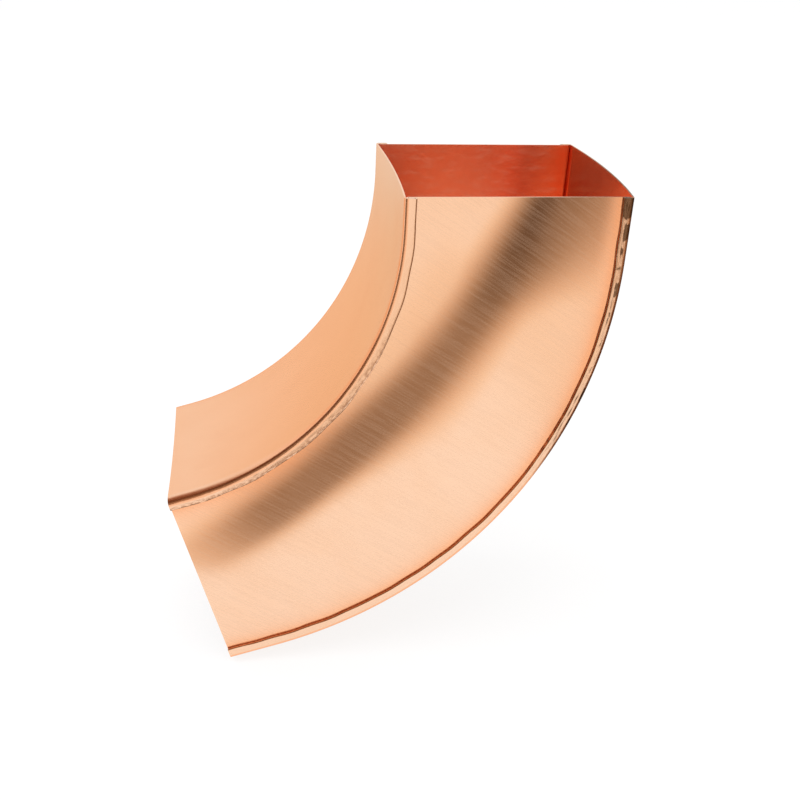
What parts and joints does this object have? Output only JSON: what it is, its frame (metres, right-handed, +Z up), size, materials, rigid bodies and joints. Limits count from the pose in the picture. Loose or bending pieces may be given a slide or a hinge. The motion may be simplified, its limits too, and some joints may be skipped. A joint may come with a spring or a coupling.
{
  "type": "downspout elbow",
  "caption": "Square copper downspout elbow with flat cheeks, curved throat and heel and folded corner seams; turns rainwater out of an upright pipe.",
  "frame": {"origin": "middle of the inlet opening, in the plane of its rim", "axes": "+Z up out of the inlet, +X towards the heel, outlet turned down towards -X, Y across from cheek to cheek"},
  "size_m": [0.2129, 0.1018, 0.2486],
  "materials": {
    "copper": "bright mill-rolled copper, satin, with fine rolling lines"
  },
  "bodies": {
    "root": {"throat": "copper", "heel": "copper", "cheek_front": "copper", "cheek_back": "copper"}
  },
  "joints": []
}
